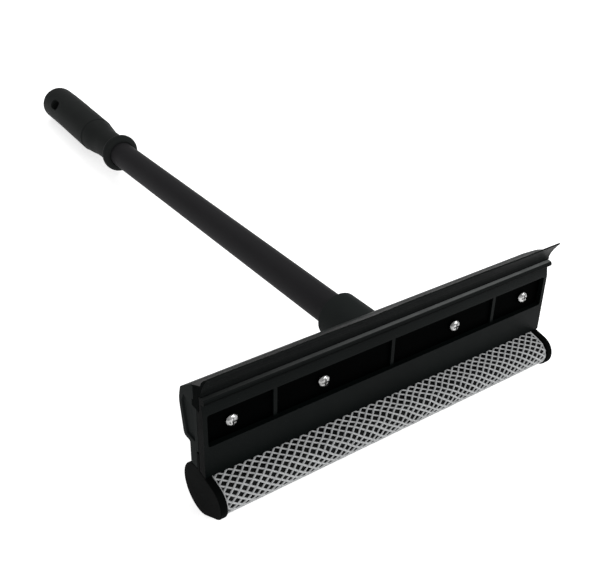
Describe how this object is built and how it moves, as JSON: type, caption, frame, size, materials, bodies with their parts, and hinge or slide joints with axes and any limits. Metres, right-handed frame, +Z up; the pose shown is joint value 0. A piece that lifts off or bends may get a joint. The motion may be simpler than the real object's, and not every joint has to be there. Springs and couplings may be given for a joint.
{
  "type": "window squeegee",
  "caption": "Window squeegee: a straight head with a rubber wiper blade along its top edge and a netted foam roll along its bottom edge, on a long tube handle with a hand grip.",
  "frame": {"origin": "on the surface that the tool lies on, under the middle of its box", "axes": "+X along the head, +Y from the head towards the grip, +Z up, towards the wiper blade's side"},
  "size_m": [0.254, 0.5242, 0.0977],
  "materials": {
    "head_plastic": "satin black moulded plastic",
    "grip_plastic": "matt black moulded plastic with a fine grain",
    "tube_coat": "matt black coat on a thin tube",
    "blade_rubber": "dull black rubber",
    "foam": "open black foam",
    "net": "pale grey knitted net",
    "screw_steel": "bright plated steel"
  },
  "bodies": {
    "root": {"head_body": "head_plastic", "front_plate": "head_plastic", "blade_rubber": "blade_rubber", "sponge_foam": "foam", "sponge_net": "net", "end_cap_left": "head_plastic", "end_cap_right": "head_plastic", "clamp_screw_1": "screw_steel", "clamp_screw_2": "screw_steel", "clamp_screw_3": "screw_steel", "clamp_screw_4": "screw_steel", "handle_tube": "tube_coat", "tube_plug": "head_plastic", "guard_collar": "grip_plastic", "hand_grip": "grip_plastic", "socket_screw": "screw_steel"}
  },
  "joints": []
}
